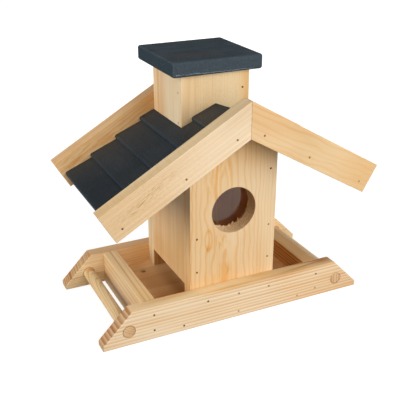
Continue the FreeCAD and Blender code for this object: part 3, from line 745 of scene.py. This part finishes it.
# matt anthracite paint, brushed on planed wood, with a few pale specks
def paintMaterial(name, paint):
    material, tree = newMaterial(name)
    coords = addNode(tree, "ShaderNodeTexCoord").outputs
    position = coords["Object"]
    brushed = stretchedNoise(tree, position, paint["brush"], detail=3.0)[0]
    cloudy = noise(tree, position, paint["cloud"], detail=2.0)[0]
    cloudy = calc(tree, "MULTIPLY", cloudy, coatLook["cloudShare"])
    tone = calc(tree, "MULTIPLY_ADD", brushed, coatLook["brushShare"], cloudy)
    light = ramp(tree, tone, *coatLook["toneEdge"])
    colour = blendColour(tree, light, srgb(paint["dark"]), srgb(paint["light"]))
    # patches of another tone laid over the paint
    for spot in paint.get("tonePatches", ()):
        colour = blendColour(tree, patch(tree, position, spot), colour, srgb(spot["tint"]))
    # tints by the way a face looks: painted light and shade
    for way, tint in paint.get("faces", {}).items():
        cover = ramp(tree, tone, *coatLook["toneEdge"], *coatLook["faceShare"])
        coat = blendColour(tree, cover, colour, srgb(tint))
        colour = blendColour(tree, facing(tree, coords["Normal"], way), colour, coat)
    mottle = ramp(tree, noise(tree, position, coatLook["mottleScale"], detail=2.0)[0], *coatLook["mottle"])
    colour = blendColour(tree, 1.0, colour, mottle, "MULTIPLY")
    speck = ramp(tree, noise(tree, position, coatLook["speckScale"], detail=0.0)[0], *coatLook["speckEdge"])
    specky = ramp(tree, noise(tree, position, coatLook["speckyScale"], detail=1.0)[0], *coatLook["specky"])
    speck = calc(tree, "MULTIPLY", speck, specky)
    grit = noise(tree, position, coatLook["gritScale"], detail=1.0)[0]
    height = calc(tree, "MULTIPLY_ADD", grit, coatLook["gritHeight"], brushed)
    principled(tree, {
        "Base Color": blendColour(tree, speck, colour, srgb(coatLook["speckTint"])),
        "Roughness": calc(tree, "MULTIPLY_ADD", brushed, coatLook["brushRough"], paint["roughness"]),
        "Normal": bumped(tree, height, *coatLook["bump"]),
        "Specular IOR Level": paint["gloss"],
    })
    return material


roofPaint = {
    "dark": "#2B2F33", "light": "#363B3F", "brush": (260, 14, 260), "cloud": 25,
    "roughness": 0.5, "gloss": 0.02,
}
painted = {
    "left_roof_board": {
        **roofPaint,
        "tonePatches": [
            {"at": (-0.12, 0.085, 0.2), "size": (0.3, 0.06, 0.3), "tint": "#454340"},
            {"at": (-0.165, -0.03, 0.165), "size": (0.035, 0.09, 0.05), "tint": "#262C31"},
            {"at": (-0.024, -0.04, 0.266), "size": (0.034, 0.05, 0.03), "tint": "#4B4740"},
        ],
        # the nose faces lighter and bluer: painted highlight along the steps
        "faces": {downLeft: "#33404A"},
    },
    # the nose faces lighter and bluer: painted highlight along the steps
    "right_roof_board": {**roofPaint, "faces": {downRight: "#33404A"}},
    "lid_board": {
        "dark": "#42494E", "light": "#4E585F", "brush": (14, 260, 260), "cloud": 30,
        "roughness": 0.5, "gloss": 0.0,
        "tonePatches": [{"at": (-0.02, 0.005, 0.335), "size": (0.03, 0.008, 0.02), "tint": "#524E4B"}],
        # tints by direction: the front and its rounded top edge lighter, the left face darker: painted
        # light and shade
        "faces": {(0, -1, 0): "#444E55", (-1, 0, 0): "#364149", (0, -0.707, 0.707): "#444E55"},
    },
    # lighter than the lid's paint: painted highlight along the bead
    "paint_bead": {
        "dark": "#4E5962", "light": "#7C8891", "brush": (160, 160, 160), "cloud": 90,
        "roughness": 0.45, "gloss": 0.05,
    },
}
coats = {name: paintMaterial("anthracite_" + name, paint) for name, paint in painted.items()}
for name, coat in coats.items():
    if name in nodes:
        dress(name, coat)
print("painted boards dressed")

# nails; those listed as faded have a wood colour blended over their heads
nails = {
    "mottleScale": 1800,
    "rough": (0.3, 0.4),
    "metallic": 0.15,
    "specular": 0.2,
    "steel": ("#502D17", "#82502A"),
    "roof": ("#0E1012", "#1B1E21"),
    "fadedSize": (0.008, 0.008, 0.008),
    "faded": {
        (0.0, -0.091, 0.008): "#C29A68",
        (0.092, -0.091, 0.009): "#C29A68",
        (0.121, -0.091, 0.016): "#C29A68",
        (0.001, -0.091, 0.036): "#B07C46",
        (0.047, -0.091, 0.036): "#A27042",
        (-0.047, -0.007, 0.294): "#B98F5E",
        (-0.047, -0.005, 0.253): "#B98F5E",
        (0.052, -0.072, 0.120): "#B0844E",
        (0.052, -0.072, 0.071): "#A07A4C",
        (0.018, -0.111, 0.258): "#966838",
        (0.084, -0.111, 0.220): "#966838",
        (0.164, -0.111, 0.174): "#B48C5A",
        (-0.018, -0.111, 0.258): "#926438",
        (-0.084, -0.111, 0.220): "#805630",
    },
}


def nailMaterial(name, tones, faded):
    material, tree = newMaterial(name)
    position = addNode(tree, "ShaderNodeTexCoord").outputs["Object"]
    mottle = noise(tree, position, nails["mottleScale"], detail=2.0)[0]
    colour = blendColour(tree, mottle, *[srgb(tone) for tone in tones])
    for place, tint in faded.items():
        mask = patch(tree, position, {"at": place, "size": nails["fadedSize"]})
        colour = blendColour(tree, mask, colour, srgb(tint))
    principled(tree, {
        "Base Color": colour,
        "Roughness": calc(tree, "MULTIPLY_ADD", mottle, *nails["rough"]),
        "Metallic": nails["metallic"],
        "Specular IOR Level": nails["specular"],
    })
    return material


nailSteel = nailMaterial("nailSteel", nails["steel"], nails["faded"])
roofNail = nailMaterial("roofNail", nails["roof"], {})
for nodeName in nodes:
    if nodeName.endswith(("_nails", "_tacks")):
        dress(nodeName, roofNail if "roof" in nodeName else nailSteel)

# clear pane with a little dust
pane = {
    "dustScale": 140,
    "dust": (0.4, 0.8, 0.005, 0.02),
    "ior": 1.495,
    "tint": (0.97, 0.90, 0.84, 1),
    "shineTint": (1.0, 0.87, 0.76, 1),
}


def paneMaterial():
    material, tree = newMaterial("clearPane")
    position = addNode(tree, "ShaderNodeTexCoord").outputs["Object"]
    principled(tree, {
        "Base Color": pane["tint"],
        "Roughness": ramp(tree, noise(tree, position, pane["dustScale"], detail=4.0)[0], *pane["dust"]),
        "IOR": pane["ior"],
        "Transmission Weight": 1.0,
        "Specular Tint": pane["shineTint"],
    })
    return material


dress("window_pane", paneMaterial())
print("nails and pane dressed")


def addPiece(name, shape, material, body):
    mesh = bpy.data.meshes.new(name)
    shape.to_mesh(mesh)
    shape.free()
    mesh.materials.append(material)
    piece = bpy.data.objects.new(name, mesh)
    scene.collection.objects.link(piece)
    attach(piece, body)


def grownVerts(grown):
    return [item for item in grown if isinstance(item, bmesh.types.BMVert)]


# torn fibres round the window's inner edge, in tufts, longest below and a little to the right
fibres = {
    "centre": (0, -0.0541, 0.149),
    "radius": 0.03147,
    "depth": 0.0006,
    "teeth": 160,
    "tufts": 40,
    "tuftReach": (0.25, 1),
    "toothReach": 0.15,
    "shortest": 0.00002,
    "longest": 0.0052,
    "topShare": 0.06,
    "lowTurn": 0.3,
    "lowPower": 0.9,
    "seed": 5,
    # darker than the panel's wood and darker still on the right: painted shade of the hole
    "wood": {
        "grain": (0, 0, 1), "pith": (0, 0.03, 0), "ringWidth": 0.004, "early": "#DCC4A0", "late": "#C2A078",
        "stainsAndShade": [{"at": (0.022, -0.054, 0.135), "size": (0.028, 0.05, 0.03), "tint": "#B4966F"}],
    },
}


def makeFibres():
    pick = random.Random(fibres["seed"])
    tufts = [pick.uniform(*fibres["tuftReach"]) for tuft in range(fibres["tufts"])]
    shape = bmesh.new()
    bmesh.ops.create_circle(shape, cap_ends=False, segments=fibres["teeth"], radius=fibres["radius"])
    grown = bmesh.ops.extrude_edge_only(shape, edges=shape.edges[:])["geom"]
    for tip in grownVerts(grown):
        turn = math.atan2(tip.co.y, tip.co.x)
        low = max(0.0, -math.sin(turn - fibres["lowTurn"])) ** fibres["lowPower"]
        low = fibres["topShare"] + (1 - fibres["topShare"]) * low
        place = turn / math.tau % 1 * fibres["tufts"]
        tuft = int(place)
        reach = tufts[tuft % fibres["tufts"]] * (place - tuft) + fibres["toothReach"] * pick.random()
        tip.co *= 1 - (fibres["shortest"] + fibres["longest"] * low * reach) / fibres["radius"]
    bmesh.ops.recalc_face_normals(shape, faces=shape.faces[:])
    bmesh.ops.solidify(shape, geom=shape.faces[:], thickness=fibres["depth"])
    bmesh.ops.recalc_face_normals(shape, faces=shape.faces[:])
    behind = min(vert.co.z for vert in shape.verts)
    bmesh.ops.translate(shape, vec=(0, 0, -behind), verts=shape.verts[:])
    bmesh.ops.rotate(shape, matrix=Matrix.Rotation(math.radians(90), 3, "X"), verts=shape.verts[:])
    bmesh.ops.translate(shape, vec=fibres["centre"], verts=shape.verts[:])
    addPiece("window_fibres", shape, pineMaterial("pine_window_fibres", fibres["wood"]), "feeder")


makeFibres()

# rough bead where the paint gathered along the lid's lower front edge, thinner towards the right
bead = {
    "start": (-0.0588, -0.0274, 0.3196),
    "finish": (0.0500, -0.0271, 0.3182),
    "steps": 110,
    "sides": 8,
    "radius": 0.0009,
    "fullness": 1.1,
    "thinning": 0.6,
    "lumps": (0.55, 1.25),
    "wander": 0.00035,
    "steadiness": 0.72,
    "seed": 11,
}


def makeBead():
    pick = random.Random(bead["seed"])
    start = Vector(bead["start"])
    stride = (Vector(bead["finish"]) - start) / bead["steps"]
    shape = bmesh.new()
    bmesh.ops.create_circle(shape, cap_ends=False, segments=bead["sides"], radius=bead["radius"])
    bmesh.ops.rotate(shape, matrix=Matrix.Rotation(math.radians(90), 3, "Y"), verts=shape.verts[:])
    bmesh.ops.translate(shape, vec=start, verts=shape.verts[:])
    edges = shape.edges[:]
    drift = 0.0
    for step in range(1, bead["steps"] + 1):
        grown = bmesh.ops.extrude_edge_only(shape, edges=edges)["geom"]
        edges = [item for item in grown if isinstance(item, bmesh.types.BMEdge)]
        verts = grownVerts(grown)
        drift = bead["steadiness"] * drift + pick.uniform(-1, 1) * bead["wander"]
        middle = start + stride * step + Vector((0, 0, drift))
        fullness = bead["fullness"] - bead["thinning"] * step / bead["steps"]
        swell = bead["radius"] * fullness * pick.uniform(*bead["lumps"])
        now = sum((vert.co for vert in verts), Vector()) / len(verts)
        for vert in verts:
            vert.co = middle + (vert.co - now).normalized() * swell
    bmesh.ops.holes_fill(shape, edges=shape.edges[:], sides=0)
    bmesh.ops.recalc_face_normals(shape, faces=shape.faces[:])
    bmesh.ops.triangulate(shape, faces=[face for face in shape.faces if len(face.verts) > 4])
    addPiece("lid_paint_bead", shape, coats["paint_bead"], "lid")


makeBead()
print("torn fibres and paint bead made")


# floor, light and camera
studio = {
    "floorSize": 14.0,
    "floorTone": 0.3,
    "floorGlow": (0.85, 1.0),
    "glowReach": (0.35, 1.1),
    "worldLight": 0.2,
    "lampSize": 1.2,
    "lampDistance": 1.8,
    # bearing from the front towards the right, height in degrees, power
    "lamps": {
        "leftLamp": (-90.0, 20.0, 22.0),
        "frontLamp": (0.0, 20.0, 13.5),
        "rightLamp": (45.0, 20.0, 18.5),
        "backLamp": (165.0, 6.0, 10.0),
    },
}
viewing = {
    "yaw": -25.53,
    "pitch": 24.0,
    "distance": 0.9825,
    "target": (-0.01346, -0.00025, 0.13646),
    "focalPixels": 720.6,
    "framePixels": 400,
    "sensor": 36.0,
}


# 1 for rays that show a surface as it is, 0 for those that only carry its light to other surfaces
def seenMask(tree):
    light = addNode(tree, "ShaderNodeLightPath").outputs
    seen = calc(tree, "MAXIMUM", light["Is Camera Ray"], light["Is Glossy Ray"])
    return calc(tree, "MAXIMUM", seen, light["Is Transmission Ray"])


# unit vector from the target, bearing measured from the front towards the right
def outward(bearing, height):
    turn = math.radians(bearing)
    rise = math.radians(height)
    return Vector((math.sin(turn) * math.cos(rise), -math.cos(turn) * math.cos(rise), math.sin(rise)))


def makeFloor():
    shape = bmesh.new()
    bmesh.ops.create_grid(shape, x_segments=1, y_segments=1, size=studio["floorSize"] / 2)
    mesh = bpy.data.meshes.new("studioFloor")
    shape.to_mesh(mesh)
    shape.free()
    floor = bpy.data.objects.new("studioFloor", mesh)
    scene.collection.objects.link(floor)
    material, tree = newMaterial("studioFloor")
    matt = addNode(tree, "ShaderNodeBsdfDiffuse")
    feed(tree, matt.inputs["Color"], (studio["floorTone"],) * 3 + (1,))
    white = addNode(tree, "ShaderNodeEmission")
    away = vectorCalc(tree, "LENGTH", addNode(tree, "ShaderNodeTexCoord").outputs["Object"])
    glow = ramp(tree, away, *studio["glowReach"], *studio["floorGlow"])
    feed(tree, white.inputs["Strength"], calc(tree, "MULTIPLY", seenMask(tree), glow))
    both = addNode(tree, "ShaderNodeAddShader")
    feed(tree, both.inputs[0], matt.outputs[0])
    feed(tree, both.inputs[1], white.outputs[0])
    endTree(tree, both)
    mesh.materials.append(material)


def makeWorld():
    world = bpy.data.worlds.new("studioWorld")
    scene.world = world
    world.use_nodes = True
    tree = world.node_tree
    tree.nodes.clear()
    backdrop = addNode(tree, "ShaderNodeBackground")
    feed(tree, backdrop.inputs["Color"], (1, 1, 1, 1))
    strength = calc(tree, "MULTIPLY_ADD", seenMask(tree), 1.0 - studio["worldLight"], studio["worldLight"])
    feed(tree, backdrop.inputs["Strength"], strength)
    endTree(tree, backdrop, "ShaderNodeOutputWorld")


def softLight(name, bearing, height, power):
    lamp = bpy.data.lights.new(name, "AREA")
    lamp.shape = "SQUARE"
    lamp.size = studio["lampSize"]
    lamp.energy = power
    holder = bpy.data.objects.new(name, lamp)
    away = outward(bearing, height)
    holder.location = Vector(viewing["target"]) + away * studio["lampDistance"]
    holder.rotation_euler = away.to_track_quat("Z", "Y").to_euler()
    scene.collection.objects.link(holder)


def makeCamera():
    lens = bpy.data.cameras.new("photoCamera")
    lens.sensor_width = viewing["sensor"]
    lens.lens = viewing["focalPixels"] / viewing["framePixels"] * viewing["sensor"]
    camera = bpy.data.objects.new("photoCamera", lens)
    back = outward(viewing["yaw"], viewing["pitch"])
    camera.location = Vector(viewing["target"]) + back * viewing["distance"]
    camera.rotation_euler = (-back).to_track_quat("-Z", "Y").to_euler()
    scene.collection.objects.link(camera)
    scene.camera = camera


makeFloor()
makeWorld()
for lampName, lampPlace in studio["lamps"].items():
    softLight(lampName, *lampPlace)
makeCamera()
scene.view_settings.view_transform = "Standard"
print("studio ready")
